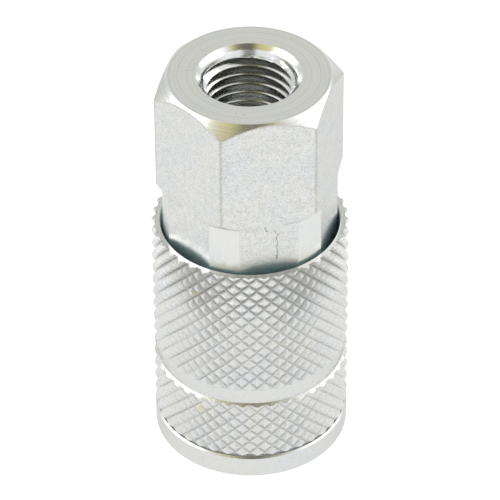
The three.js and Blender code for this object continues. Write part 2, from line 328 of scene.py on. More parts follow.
class Shader(Nodes):
    """A surface material. Coordinates are the piece's own, in millimetres."""

    def __init__(self, name, metallic, specular=0.5, edge=1.0):
        self.material = bpy.data.materials.new(name)
        self.material.use_nodes = True
        super().__init__(self.material.node_tree)
        self.surface = self.tree.nodes["Principled BSDF"]
        self.surface.inputs["Metallic"].default_value = metallic
        self.surface.inputs["Specular IOR Level"].default_value = specular
        self.surface.inputs["Specular Tint"].default_value = (edge, edge, edge, 1)
        coordinates = self.node("ShaderNodeTexCoord")
        scaled = self.node("ShaderNodeVectorMath", operation="SCALE")
        scaled.inputs["Scale"].default_value = 1 / MM
        self.link(coordinates.outputs["Object"], scaled.inputs[0])
        self.position = scaled.outputs[0]
        parts = self.node("ShaderNodeSeparateXYZ")
        self.link(self.position, parts.inputs[0])
        self.x, self.y, self.z = parts.outputs

    def stretched(self, scale, offset=(0, 0, 0)):
        made = self.node("ShaderNodeMapping")
        made.inputs["Scale"].default_value = scale
        made.inputs["Location"].default_value = offset
        self.link(self.position, made.inputs["Vector"])
        return made.outputs[0]

    def noise(self, scale, detail=3.0, rough=0.55, vector=None):
        made = self.node("ShaderNodeTexNoise")
        self.link(vector or self.position, made.inputs["Vector"])
        made.inputs["Scale"].default_value = scale
        made.inputs["Detail"].default_value = detail
        made.inputs["Roughness"].default_value = rough
        return made.outputs["Fac"]

    def lines(self, coordinate, per_mm, detail=2.0):
        """Uneven fine lines that follow one coordinate, such as turning marks."""
        made = self.node("ShaderNodeTexNoise", noise_dimensions="1D")
        self.link(coordinate, made.inputs["W"])
        made.inputs["Scale"].default_value = per_mm
        made.inputs["Detail"].default_value = detail
        return made.outputs["Fac"]

    def spots(self, scale, size, share):
        """Small round spots, 1 at the middle: scale is cells per mm, share is how many cells hold one."""
        made = self.node("ShaderNodeTexVoronoi", feature="F1")
        self.link(self.position, made.inputs["Vector"])
        made.inputs["Scale"].default_value = scale
        picked = self.node("ShaderNodeSeparateColor")
        self.link(made.outputs["Color"], picked.inputs[0])
        chosen = self.math("LESS_THAN", picked.outputs[0], share)
        near = self.span(made.outputs["Distance"], size, size * 0.3)
        return self.math("MULTIPLY", near, chosen)

    def scratches(self, scale, share, offset):
        """Thin sparse scratches: bands of a stretched noise near its middle value."""
        streaks = self.noise(1.0, 0.0, vector=self.stretched(scale, offset))
        off_middle = self.math("ABSOLUTE", self.math("SUBTRACT", streaks, 0.5))
        line = self.span(off_middle, 0.006, 0.001)
        patches = self.noise(0.35, 1.0, vector=self.stretched((1, 1, 1), offset))
        return self.math("MULTIPLY", line, self.span(patches, 1 - share, 1.02 - share))

    def radius(self):
        squares = [self.math("POWER", part, 2.0) for part in (self.x, self.y)]
        return self.math("SQRT", self.math("ADD", *squares))

    def attribute(self, name):
        made = self.node("ShaderNodeAttribute", attribute_name=name)
        return made.outputs["Fac"]

    def total(self, *terms):
        """Sum of (socket, weight) terms."""
        result = None
        for socket, weight in terms:
            part = self.math("MULTIPLY", socket, weight)
            result = part if result is None else self.math("ADD", result, part)
        return result

    def finish(self, colour, roughness, height, depth_mm):
        bump = self.node("ShaderNodeBump")
        bump.inputs["Strength"].default_value = 1.0
        bump.inputs["Distance"].default_value = depth_mm * MM
        self.link(height, bump.inputs["Height"])
        self.link(bump.outputs[0], self.surface.inputs["Normal"])
        self.put(self.surface.inputs["Base Color"], colour)
        self.put(self.surface.inputs["Roughness"], roughness)
        return self.material


ZINC = (0.72, 0.728, 0.715)
ZINC_COOL = (0.665, 0.71, 0.735)
ZINC_WARM = (0.74, 0.725, 0.66)
ZINC_DULL = (0.52, 0.53, 0.52)
PIT = (0.2, 0.19, 0.175)


def zinc_colour(shader, grain, pits, tint=0.6, level=1.0):
    """Bright zinc plate: cool and warm clouds, fine mottling and dark pits, darker with a lower level."""
    clouds = shader.noise(0.22, 2.0)
    cool = shader.mix(shader.span(clouds, 0.5, 0.75, 0.0, tint), ZINC, ZINC_COOL)
    tinted = shader.mix(shader.span(clouds, 0.45, 0.25, 0.0, tint), cool, ZINC_WARM)
    mottled = shader.mix(shader.span(grain, 0.45, 0.75, 0.0, 0.3), tinted, ZINC_DULL)
    shade = shader.node("ShaderNodeMix", data_type="RGBA", blend_type="MULTIPLY")
    shade.inputs["Factor"].default_value = 1.0
    shader.link(mottled, shade.inputs[6])
    shade.inputs[7].default_value = (level, level, level, 1)
    return shader.mix(pits, shade.outputs[2], PIT)


def dark_line(shader, x, z_low, z_high, lean, sway, width):
    """A dark line on the front flat: where it is, how it leans and sways, and how wide it is."""
    middle = shader.math("MULTIPLY", shader.math("SUBTRACT", shader.z, (z_low + z_high) / 2), lean)
    wave = shader.math("MULTIPLY", shader.math("SUBTRACT", shader.noise(1.6, 2.0), 0.5), sway)
    off = shader.math("SUBTRACT", shader.math("SUBTRACT", shader.x, x), shader.math("ADD", middle, wave))
    line = shader.span(shader.math("ABSOLUTE", off), width, width * 0.25)
    low_end = shader.span(shader.z, z_low, z_low + 0.15)
    high_end = shader.span(shader.z, z_high, z_high - 0.15)
    front = shader.math("LESS_THAN", shader.y, 0.9 - FLAT_R)
    ends = shader.math("MULTIPLY", low_end, high_end)
    return shader.math("MULTIPLY", shader.math("MULTIPLY", line, ends), front)


def tool_marks(shader):
    """Scars on the lower front flat: a long wavy one and two short ones beside its top."""
    long_mark = dark_line(shader, 1.1, 36.8, 41.4, 0.0, 1.0, 0.09)
    short_mark = dark_line(shader, -0.4, 41.7, 42.7, -0.35, 0.3, 0.14)
    thin_mark = dark_line(shader, 0.9, 41.2, 42.0, -0.5, 0.3, 0.08)
    return shader.math("MAXIMUM", long_mark, shader.math("MAXIMUM", short_mark, thin_mark))


def drawn_zinc():
    """Flats of the hexagon: drawn bar, sand-fine grain, pits, nicks and faint scratches."""
    shader = Shader("zinc_drawn", 1.0, edge=0.8)
    grain = shader.noise(3.2, 5.0, 0.62)
    fine = shader.noise(6.0, 4.0, 0.65)
    pits = shader.math("MULTIPLY", shader.spots(1.9, 0.17, 0.24), 0.75)
    nicks = shader.scratches((0.9, 0.9, 0.22), 0.42, (3.1, 7.7, 1.3))
    long_nicks = shader.scratches((0.6, 0.6, 0.16), 0.35, (13.1, 2.7, 5.3))
    scratched = shader.math("MAXIMUM", nicks, long_nicks)
    blotches = shader.span(shader.noise(1.1, 5.0, 0.68), 0.46, 0.66, 0.0, 0.36)
    # Darkening along the hexagon's corners, step, chamfer arcs and strip joints, read from the wear mask:
    # rubbed wear, and painted shade along these edges and creases.
    worn_and_edge_shaded = shader.attribute("wear_and_edge_shade")
    edge = shader.math("MULTIPLY", worn_and_edge_shaded, shader.span(fine, 0.35, 0.6, 0.2, 0.8))
    colour = zinc_colour(shader, grain, pits, 0.8, 1.03)
    colour = shader.mix(shader.span(fine, 0.5, 0.62, 0.0, 0.66), colour, (0.42, 0.42, 0.41))
    colour = shader.mix(shader.math("MULTIPLY", scratched, 0.45), colour, ZINC_DULL)
    colour = shader.mix(blotches, colour, (0.5, 0.515, 0.53))
    colour = shader.mix(shader.math("MULTIPLY", tool_marks(shader), 0.8), colour, (0.2, 0.19, 0.18))
    colour = shader.mix(edge, colour, (0.36, 0.34, 0.31))
    dulled = shader.math("MULTIPLY", worn_and_edge_shaded, 0.1)
    roughness = shader.math("ADD", shader.span(grain, 0.3, 0.7, 0.3, 0.4), dulled)
    height = shader.total((grain, 1.0), (fine, 0.3), (pits, -1.6), (scratched, -0.5))
    return shader.finish(colour, roughness, height, 0.006)


def turned_zinc(name, along, roughness, line_depth, level=1.0, per_mm=9.0):
    """Lathe-turned and plated: fine tool marks that run round, along one coordinate ("r" or "z")."""
    shader = Shader(name, 1.0, edge=0.8)
    coordinate = shader.z if along == "z" else shader.radius()
    marks = shader.lines(coordinate, per_mm, 3.0)
    wide_marks = shader.lines(coordinate, 1.6, 1.0)
    grain = shader.noise(4.0, 4.0, 0.6)
    pits = shader.math("MULTIPLY", shader.spots(1.1, 0.14, 0.1), 0.7)
    worn_and_edge_shaded = shader.attribute("wear_and_edge_shade")
    nicks = shader.scratches((0.3, 0.3, 1.3), 0.4, (5.0, 1.0, 2.0))
    colour = zinc_colour(shader, grain, pits, 0.5, level)
    colour = shader.mix(shader.span(marks, 0.5, 0.66, 0.0, 0.12 * line_depth), colour, ZINC_DULL)
    colour = shader.mix(shader.math("MULTIPLY", nicks, 0.5), colour, (0.4, 0.4, 0.39))
    # Darkening read from the wear mask on the adapter's chamfer, step and strips: rubbed wear, and
    # painted shade along these edges and creases.
    colour = shader.mix(shader.math("MULTIPLY", worn_and_edge_shaded, 0.5), colour, (0.4, 0.39, 0.36))
    dulled = shader.math("MULTIPLY", worn_and_edge_shaded, 0.08)
    rough = shader.math("ADD", shader.span(grain, 0.3, 0.7, *roughness), dulled)
    height = shader.total((marks, line_depth), (wide_marks, 0.6), (grain, 0.5), (pits, -1.5))
    return shader.finish(colour, rough, height, 0.01)


def knurl_zinc():
    """Knurled skin: rough plate, painted shade in the valleys and on the grooves' floors, bright on the
    crests, a few yellow specks.
    """
    shader = Shader("zinc_knurl", 1.0)
    grain = shader.noise(5.5, 4.0, 0.65)
    blotches = shader.noise(1.4, 2.0)
    crest = shader.attribute("crest")
    pits = shader.math("MULTIPLY", shader.spots(2.2, 0.13, 0.12), 0.6)
    # Painted shade: the valleys between the pyramids are darkened, and made rougher.
    valley = shader.span(crest, 0.34, 0.0)
    # Painted shade on the grooves' floors, patchy in strength.
    shade_patches = shader.span(blotches, 0.3, 0.6, 0.5, 1.0)
    groove = shader.math("MULTIPLY", shader.attribute("groove"), shade_patches)
    colour = zinc_colour(shader, grain, pits, 0.8, 0.93)
    colour = shader.mix(shader.span(grain, 0.5, 0.66, 0.0, 0.5), colour, (0.38, 0.37, 0.35))
    colour = shader.mix(shader.math("MULTIPLY", valley, 0.6), colour, (0.42, 0.415, 0.395))
    colour = shader.mix(shader.math("MULTIPLY", groove, 0.6), colour, (0.36, 0.36, 0.35))
    colour = shader.mix(shader.span(crest, 0.9, 1.0, 0.0, 0.3), colour, (0.8, 0.8, 0.79))
    specks = shader.math("MULTIPLY", shader.spots(0.2, 0.13, 0.3), shader.span(blotches, 0.45, 0.6))
    colour = shader.mix(shader.math("MULTIPLY", specks, 0.8), colour, (0.72, 0.6, 0.22))
    dulled = shader.math("MULTIPLY", valley, 0.12)
    roughness = shader.math("ADD", shader.span(grain, 0.3, 0.7, 0.24, 0.42), dulled)
    height = shader.total((grain, 1.0), (blotches, 0.8), (pits, -1.0))
    return shader.finish(colour, roughness, height, 0.022)


def inner_zinc():
    """Sleeve's bore: thick bluish passivated plate that was never rubbed."""
    shader = Shader("zinc_inner", 0.15)
    marks = shader.lines(shader.z, 6.0, 2.0)
    film = shader.noise(1.2, 3.0)
    colour = shader.mix(shader.span(film, 0.3, 0.7), (0.5, 0.8, 0.86), (0.6, 0.86, 0.9))
    roughness = shader.span(film, 0.3, 0.7, 0.32, 0.46)
    height = shader.total((marks, 1.0), (film, 0.6))
    return shader.finish(colour, roughness, height, 0.006)


def wire_steel():
    """Drawn spring wire: lengthwise die marks read as fine rings, oil film in clouds."""
    shader = Shader("spring_wire", 1.0)
    marks = shader.lines(shader.radius(), 14.0)
    film = shader.noise(0.8, 3.0)
    colour = shader.mix(shader.span(film, 0.35, 0.7), (0.46, 0.45, 0.43), (0.6, 0.6, 0.6))
    roughness = shader.span(marks, 0.3, 0.7, 0.2, 0.36)
    height = shader.total((marks, 1.0), (shader.noise(9.0), 0.5))
    return shader.finish(colour, roughness, height, 0.006)


def ball_steel():
    """Ground and polished bearing ball with faint swirl marks."""
    shader = Shader("ball_steel", 1.0)
    swirl = shader.scratches((1.8, 0.5, 0.9), 0.6, (2.0, 9.0, 4.0))
    film = shader.noise(2.0, 2.0)
    colour = shader.mix(shader.span(film, 0.3, 0.7), (0.78, 0.79, 0.8), (0.86, 0.87, 0.88))
    scuffed = shader.math("MULTIPLY", swirl, 0.15)
    roughness = shader.math("ADD", shader.span(film, 0.3, 0.7, 0.05, 0.1), scuffed)
    height = shader.total((film, 0.4), (swirl, -0.6))
    return shader.finish(colour, roughness, height, 0.002)


def turned_brass():
    """Machined brass with tool marks that run round and a thin tarnish."""
    shader = Shader("turned_brass", 1.0)
    marks = shader.lines(shader.radius(), 8.0, 3.0)
    steps = shader.lines(shader.z, 8.0, 3.0)
    tarnish = shader.noise(0.9, 4.0)
    colour = shader.mix(shader.span(tarnish, 0.35, 0.7), (0.8, 0.64, 0.33), (0.58, 0.43, 0.2))
    roughness = shader.span(tarnish, 0.3, 0.7, 0.2, 0.38)
    height = shader.total((marks, 0.7), (steps, 0.7), (tarnish, 0.4))
    return shader.finish(colour, roughness, height, 0.01)


def nitrile():
    """Moulded nitrile rubber: matt black, faintly speckled with grease and dust."""
    shader = Shader("nitrile", 0.0, 0.35)
    skin = shader.noise(6.0, 4.0)
    dust = shader.spots(2.6, 0.14, 0.2)
    colour = shader.mix(shader.span(skin, 0.3, 0.7), (0.018, 0.018, 0.019), (0.04, 0.04, 0.041))
    colour = shader.mix(shader.math("MULTIPLY", dust, 0.4), colour, (0.2, 0.2, 0.19))
    roughness = shader.span(skin, 0.3, 0.7, 0.45, 0.7)
    return shader.finish(colour, roughness, skin, 0.015)


# ---------------------------------------------------------------- adapter


def hex_radius(angle):
    """Distance from the axis to the hexagon's side at an angle, its corners slightly rounded."""
    sector = TURN / 6
    from_corner = abs((angle + sector / 2) % sector - sector / 2)
    centre = CORNER_R - CORNER_FILLET / math.sin(sector)
    tangent = math.atan2(centre * math.sin(sector / 2), FLAT_R)
    if from_corner < sector / 2 - tangent:
        across = centre * math.sin(from_corner)
        return centre * math.cos(from_corner) + math.sqrt(CORNER_FILLET**2 - across**2)
    return FLAT_R / math.cos(sector / 2 - from_corner)


def chamfer_foot(hex_r):
    """Height where the top chamfer meets the hexagon's side, at a distance from the axis."""
    return FACE_CHAMFER_Z + (CORNER_R - hex_r) * CHAMFER_SLOPE


def adapter_angles():
    """Column angles of the adapter: every degree, and closer at the hexagon's corners."""
    near = [0, 0.15, 0.3, 0.45, 0.6, 0.8, 1.1, 1.6, 2.2]
    strip = 30 - math.degrees(math.acos(FLAT_R / TURNED_R))
    half = near + [d for d in range(3, 31) if abs(d - strip) > 0.5] + [strip - 0.25, strip, strip + 0.25]
    sector = sorted({-d for d in half} | set(half))[:-1]  # both halves share the line at 30 degrees
    return [math.radians(60 * k + d) for k in range(6) for d in sector]


def thread_outline():
    """One pitch of the female thread from root to root, as (share of the pitch, share of the height)."""
    root, crest = 0.05, 0.06
    edge = 0.5 - crest
    return [
        (root * 0.5, 0.0),
        (root, 0.02),
        (root + 0.03, 0.08),
        (0.25, 0.5),
        (edge - 0.03, 0.93),
        (edge, 0.985),
        (0.5, 1.0),
        (1 - edge, 0.985),
        (1 - edge + 0.03, 0.93),
        (0.75, 0.5),
        (1 - root - 0.03, 0.08),
        (1 - root, 0.02),
    ]


def thread_column(turn):
    """(r, z) points of the port's wall from the face down, at a share of a turn."""
    bottom = LENGTH - THREAD_DEPTH
    points = []
    pitches = math.ceil(THREAD_DEPTH / THREAD_PITCH) + 2
    for k in range(pitches):
        for share, tall in thread_outline():
            z = LENGTH + THREAD_PITCH * (turn - k - share + THREAD_PHASE)
            z = min(LENGTH, max(bottom, z))
            depth = LENGTH - z
            height = (THREAD_MAJOR_R - THREAD_MINOR_R) * tall
            runout = min(1.0, (z - bottom) / THREAD_PITCH)
            wall = THREAD_MINOR_R + (THREAD_MAJOR_R - THREAD_MINOR_R - height) * runout
            cone = LEAD_R - (depth - COUNTERSINK_R + LEAD_R) * LEAD_SLOPE
            if depth < LEAD_DEPTH:
                points.append((max(COUNTERSINK_R - depth, cone), z))
            else:
                points.append((max(wall - depth * THREAD_TAPER, cone - (depth - LEAD_DEPTH) * 3), z))
    return points


def adapter_column(angle, turn):
    """Closed (r, z) outline of the adapter at an angle, always with the same number of points."""
    hex_r = hex_radius(angle)
    step_slope = STEP_HEIGHT / (CORNER_R - TURNED_R)
    step_top = STEP_Z + max(0.03, (hex_r - TURNED_R) * step_slope)
    chamfer_low = chamfer_foot(hex_r)
    corners = [
        ((TAIL_BORE_R, ADAPTER_BOTTOM), 0.1),
        ((min(hex_r, TURNED_R - 0.5), ADAPTER_BOTTOM), 0.1),
        ((min(hex_r, TURNED_R), ADAPTER_BOTTOM + 0.5), 0.1),
        ((min(hex_r, TURNED_R), STEP_Z - 0.4), 0.0),
        ((min(hex_r, TURNED_R), STEP_Z), 0.05),
        ((hex_r, step_top), 0.08),
        ((hex_r, step_top + 0.4), 0.0),
        ((hex_r, STEP_Z + 5), 0.0),
        ((hex_r, FACE_CHAMFER_Z - 5), 0.0),
        ((hex_r, chamfer_low - 0.35), 0.0),
        ((hex_r, chamfer_low), 0.1),
        ((FACE_R, LENGTH), 0.09),
    ]
    inner = [
        ((THREAD_MINOR_R - THREAD_DEPTH * THREAD_TAPER, LENGTH - THREAD_DEPTH), 0.0),
        ((THROUGH_R, LENGTH - THREAD_DEPTH - 1.2), 0.1),
        ((THROUGH_R, CHAMBER_TOP_Z), 0.1),
        ((REAR_BORE_R, CHAMBER_TOP_Z), 0.1),
        ((REAR_BORE_R, TAIL_BORE_TOP_Z), 0.1),
        ((TAIL_BORE_R, TAIL_BORE_TOP_Z), 0.1),
    ]
    rim = ((COUNTERSINK_R, LENGTH), 0.0)
    ring = corners + [rim] + inner
    points = []
    for i, (corner, radius) in enumerate(ring):
        before, after = ring[i - 1][0], ring[(i + 1) % len(ring)][0]
        points += fillet(before, corner, after, radius, 3)
        if corner == rim[0]:
            points += thread_column(turn)
    return points


def adapter_wear_and_shade(spin, r, z):
    """How much the adapter is darkened on its corners, step, arcs under the chamfer and strips' edges:
    rubbed wear, and painted shade along these edges and creases.
    """
    from_corner = np.abs((spin + TURN / 12) % (TURN / 6) - TURN / 12)
    corner = np.clip(1 - from_corner * CORNER_R / 0.3, 0, 1) * (r > TURNED_R + 0.1)
    step = np.clip(1 - np.abs(z - STEP_Z - 0.1) / 0.12, 0, 1) * (r > FLAT_R + 0.05)
    arcs = np.array([chamfer_foot(hex_radius(a)) for a in spin])
    arc = np.clip(1 - np.abs(z - arcs) / 0.35, 0, 1) * (r > FLAT_R - 0.1)
    # The joint of flat and turned strip is a crease, and its darkening there is painted shade.
    strip_edge = TURN / 12 - math.acos(FLAT_R / TURNED_R)
    joint = np.clip(1 - np.abs(from_corner - strip_edge) / 0.004, 0, 1) * (z < STEP_Z) * (r > FLAT_R)
    return np.maximum.reduce([corner, step, arc * 0.8, joint * 0.7])


def adapter_finish(polygon):
    """Which of the adapter's materials a polygon has: face, flat, turned or threaded."""
    centre = polygon.center / MM
    reach = math.hypot(centre.x, centre.y)
    if reach < COUNTERSINK_R:
        return 3
    if reach > TURNED_R - 0.02 and centre.z < STEP_Z:
        return 2
    return int(reach > FLAT_R - 0.03 and abs(polygon.normal.z) < 0.2)


def adapter(face, flat, turned, threaded):
    """Hexagonal end fitting with its helical tapered thread: drawn flats, turned corners and faces."""
    angles = adapter_angles()
    columns = [adapter_column(a, a / TURN) for a in angles]
    columns.append(adapter_column(angles[0], angles[0] / TURN + 1))
    spin = np.array(angles + angles[:1])
    outline = np.array(columns, float).transpose(1, 0, 2)
    r, z = outline[..., 0], outline[..., 1]
    vertices = np.stack([r * np.cos(spin), r * np.sin(spin), z], axis=-1).reshape(-1, 3)
    wear_and_edge_shade = adapter_wear_and_shade(spin, r, z).reshape(-1)
    quads = grid_quads(len(outline), len(spin), True, False)
    piece = new_object("adapter_fitting", vertices, quads, 17, {"wear_and_edge_shade": wear_and_edge_shade}, weld=True)
    settle(piece, "socket", "zinc_plated_steel", [face, flat, turned, threaded], "adapter")
    for polygon in piece.data.polygons:
        polygon.material_index = adapter_finish(polygon)
    return piece


# ---------------------------------------------------------------- sleeve


def triangle(phase):
    """Distance to the nearest whole number, 0 to 0.5."""
    return np.abs(phase - np.round(phase))


def smooth_step(t):
    """Eases 0..1 at both ends, held outside."""
    t = min(1.0, max(0.0, t))
    return t * t * (3 - 2 * t)


def knurl_shape(z):
    """Groove depth and full pyramid height: steep at the rim, blunt below, shallow at the bevel."""
    steep = smooth_step((z - 25) / 9)
    shallow = smooth_step((z - 11.3) / 1.6) if z < BAND_TOP_Z else 0.0
    foot = smooth_step((6.5 - z) / 2)
    depth = KNURL_DEPTH + 0.3 * steep - 0.11 * shallow - 0.02 * foot
    return depth, KNURL_CREST + 0.24 * steep - 0.1 * shallow


def knurl_drop(angles, z):
    """How far the skin lies below the crests, and 1 on the grooves' floors: two crossing families."""
    round_phase = KNURL_STARTS * (angles - KNURL_NODE_ANGLE) / TURN
    rise = (z - KNURL_NODE_Z) / KNURL_PITCH_Z
    a, b = round_phase + rise, round_phase - rise
    pyramid = 2 * np.minimum(triangle(a), triangle(b))
    cell_a, cell_b = np.floor(a + 1e-6), np.floor(b + 1e-6)
    uneven = np.sin(cell_a * 12.9898) * np.sin(cell_b * 4.137 + 1.3)
    depth, full = knurl_shape(z)
    dome = 0.05 * (1 - pyramid)
    drop = np.maximum(depth + 0.035 * uneven - full * pyramid, 0) + dome
    return drop, np.clip(1 - pyramid * KNURL_STEPS / 2, 0, 1)


def sleeve_profile():
    """Outside of the sleeve from its foot to its rim: (turned radius, z, knurled?) for each row."""
    step = KNURL_PITCH_Z / KNURL_STEPS
    offset = KNURL_NODE_Z % step

    def knurl_rows(low, high):
        first, last = math.ceil((low - offset) / step), math.floor((high - offset) / step)
        return [(UNTURNED, i * step + offset, True) for i in range(first, last + 1)]

    foot = fillet((11.5, SLEEVE_BOTTOM), (RING_R, SLEEVE_BOTTOM), (RING_R, 3.6), 0.5, 5)
    ring_edge = fillet((RING_R, 1.5), (RING_R, RING_TOP_Z - 0.23), (RING_TOP_R, RING_TOP_Z), 0.05, 2)
    rows = [(r, z, False) for r, z in foot + ring_edge]
    rows += [(RING_TOP_R, RING_TOP_Z, False)]
    rows += [(GROOVE_R, RING_TOP_Z + 0.03, False), (GROOVE_R, GROOVE_TOP_Z, False)]
    for t in (0.33, 0.66, 1):
        rows.append((GROOVE_R + (SLEEVE_R - GROOVE_R) * t, GROOVE_TOP_Z + 0.08 * t, True))
    rows += knurl_rows(GROOVE_TOP_Z + 0.12, BEVEL_Z - 0.1)
    for t in np.linspace(0, 1, 9):
        rows.append((SLEEVE_R - BEVEL_WIDTH * t, BEVEL_Z + BEVEL_RISE * t, True))
    rows += [(BAND_R, z, False) for z in (13.7, 14.3, 15.0, 15.7, BAND_TOP_Z)]
    for t in (0.25, 0.5, 0.75, 1):
        rows.append((BAND_R + BEVEL_WIDTH * t, BAND_TOP_Z + 0.01 + 0.06 * t, True))
    rows += knurl_rows(BAND_TOP_Z + 0.12, SLEEVE_TOP - 0.06)
    rows += [(RING_R, SLEEVE_TOP - 0.03, True), (SLEEVE_R - 0.07, SLEEVE_TOP, True)]
    return rows


def sleeve_inside():
    """Inside of the sleeve from its rim down to its foot: spring pocket, ball cam and ring recess."""
    bore, land, recess = SLEEVE_BORE_R, SOCKET_R + 0.1, 11.35
    seat_z, cam_z, release_z = 14.6, BALL_Z - 0.2, BALL_Z - 7
    release = land + (cam_z - release_z) * 0.2
    corners = [
        ((bore, SLEEVE_TOP), 0.16),
        ((bore, seat_z), 0.15),
        ((land, seat_z), 0.15),
        ((land, cam_z), 0.1),
        ((release, release_z), 0.15),
        ((land, release_z - 0.8), 0.1),
        ((land, 3.0), 0.1),
        ((recess, 3.0), 0.1),
        ((recess, SLEEVE_BOTTOM), 0.15),
    ]
    start, end = (12.8, SLEEVE_TOP), (12.2, SLEEVE_BOTTOM)
    points = [start]
    for i, (corner, radius) in enumerate(corners):
        before = corners[i - 1][0] if i else start
        after = corners[i + 1][0] if i + 1 < len(corners) else end
        points += fillet(before, corner, after, radius, 3)
    return points + [end]


def sleeve_grid(angles):
    """Radius, height, crest and groove values: rows up the outside and down the inside, and columns."""
    none, all_one = np.zeros(len(angles)), np.ones(len(angles))
    rows = []
    for limit, z, knurl in sleeve_profile():
        drop, groove = knurl_drop(angles, z) if knurl else (none, none)
        crest = 1 - np.clip(drop / VALLEY_DROP, 0.002 if knurl else 0, 1)
        rows.append((np.minimum(SLEEVE_R - drop, limit), z * all_one, crest, groove))
    for r, z in sleeve_inside():
        rows.append((r * all_one, z * all_one, all_one, none))
    return np.array(rows).transpose(1, 0, 2)


def roughen(r, z, crest, angles):
    """Lets the knurled rows dip here and there by up to 0.03 mm."""
    for row in np.flatnonzero(crest.min(axis=1) < 1):
        places = [Vector((13 * math.cos(a), 13 * math.sin(a), z[row, 0])) * 0.9 for a in angles]
        r[row] += np.minimum([noise.noise(place) for place in places], 0) * 0.03


def sleeve(turned, knurled, inner):
    """Release sleeve with real pyramids, its smooth band, bevels, foot ring and the cam inside."""
    columns = KNURL_STARTS * KNURL_STEPS
    angles = KNURL_NODE_ANGLE + np.arange(columns) * TURN / columns
    r, z, crest, groove = sleeve_grid(angles)
    roughen(r, z, crest, angles)
    vertices = np.stack([r * np.cos(angles), r * np.sin(angles), z], axis=-1).reshape(-1, 3)
    crest = crest.reshape(-1)
    faces = split_quads(grid_quads(len(r), columns, True, True), r.reshape(-1), crest)
    values = {"crest": crest, "groove": groove.reshape(-1)}
    piece = new_object("knurled_sleeve", vertices, faces, 24, values)
    settle(piece, "sleeve", "zinc_plated_steel", [turned, knurled, inner], "sleeve")
    for polygon in piece.data.polygons:
        centre = polygon.center / MM
        bored = math.hypot(centre.x, centre.y) < SLEEVE_BORE_R + 0.02
        if bored and centre.z > SLEEVE_BOTTOM + 0.1:
            polygon.material_index = 2
        else:
            polygon.material_index = int(max(crest[v] for v in polygon.vertices) < KNURLED)
    return piece


def split_quads(quads, radius, crest):
    """Splits each knurled quad along its valley, which keeps the grooves crisp, and leaves the others."""
    knurled = crest[quads].min(axis=1) < KNURLED
    faces = [tuple(q) for q in quads[~knurled]]
    for a, b, c, d in quads[knurled]:
        if radius[a] + radius[c] <= radius[b] + radius[d]:
            faces += [(a, b, c), (a, c, d)]
        else:
            faces += [(b, c, d), (b, d, a)]
    return faces


# ---------------------------------------------------------------- inside pieces


def socket_body(turned):
    """Tube that the plug enters, with its ring groove and six tapered ball holes."""
    outline = [
        (PLUG_BORE_R + 1.15, 0), (SOCKET_R - 0.5, 0), (SOCKET_R, 0.5), (SOCKET_R, 1.6),
        (9.75, 1.6), (9.75, 2.9), (SOCKET_R, 2.9), (SOCKET_R, 29.7), (9.6, 29.7), (9.6, 36),
        (REAR_BORE_R, 36), (REAR_BORE_R, 17), (6.4, 17), (6.4, 15.5), (PLUG_BORE_R, 15.5),
        (PLUG_BORE_R, 1.15),
    ]
    piece = turned_object("socket_tube", outline, 0.08, 180)
    cutters = []
    for x, y, z in BALL_CENTRES:
        hole = [(0, 6), (1.52, 6), (2.06, 8.2), (2.06, 12), (0, 12)]
        vertices, quads = revolve(hole, 64)
        cutter = new_object("ball_hole", vertices, quads, weld=True)
        turn = Matrix.Rotation(math.atan2(y, x), 4, "Z") @ Matrix.Rotation(math.pi / 2, 4, "Y")
        cutter.matrix_world = Matrix.Translation((0, 0, z * MM)) @ turn
        cutters.append(cutter)
    bpy.context.view_layer.update()
    cut(piece, cutters)
    return settle(piece, "socket", "zinc_plated_steel", [turned], "socket_body")


def locking_ball(index, polished):
    """Bearing ball as an even cube sphere."""
    work = bmesh.new()
    bmesh.ops.create_cube(work, size=2)
    bmesh.ops.subdivide_edges(work, edges=work.edges, cuts=15, use_grid_fill=True)
    for vertex in work.verts:
        spread = Vector([math.tan(v * math.pi / 4) for v in vertex.co])
        vertex.co = spread.normalized() * BALL_R * MM + Vector(BALL_CENTRES[index]) * MM
    mesh = bpy.data.meshes.new(f"ball_{index + 1}")
    work.to_mesh(mesh)
    work.free()
    mesh.shade_smooth()
    piece = bpy.data.objects.new(f"ball_{index + 1}", mesh)
    bpy.context.scene.collection.objects.link(piece)
    return settle(piece, f"ball_{index + 1}", "ball_steel", [polished], f"locking_ball_{index + 1}")


def helix(radius, wire, low, high, active, end_turns=0.9, per_turn=48):
    """Centre line of a compression spring with closed end coils."""
    turns = active + 2 * end_turns
    bottom, top = low + wire, high - wire
    end_pitch = 2.12 * wire
    rise = top - bottom - 2 * end_turns * end_pitch
    points = []
    for t in np.linspace(0, turns, int(turns * per_turn)):
        ending = min(t, end_turns) + max(0.0, t - end_turns - active)
        middle = min(max(t - end_turns, 0.0), active) / active
        z = bottom + ending * end_pitch + middle * rise
        points.append((radius * math.cos(TURN * t), radius * math.sin(TURN * t), z))
    return points


def spring(name, node, radius, wire, active, steel):
    """Coil spring between the heights of its CAD node, its ends ground flat."""
    low, high = (corner[2] for corner in box_mm(node))
    path = helix(radius, wire, low, high, active)
    piece = tube(name, path, wire, flatten=(low + wire * 0.2, high - wire * 0.2))
    return settle(piece, "socket", "spring_steel", [steel], node)


def snap_ring(steel):
    """Open wire ring in the socket body's groove."""
    half = math.pi * 0.93
    z = sum(corner[2] for corner in box_mm("retaining_ring")) / 2
    path = [(SOCKET_R * math.cos(t), SOCKET_R * math.sin(t), z) for t in np.linspace(-half, half, 200)]
    piece = tube("snap_ring", path, 0.54)
    return settle(piece, "socket", "spring_steel", [steel], "retaining_ring")


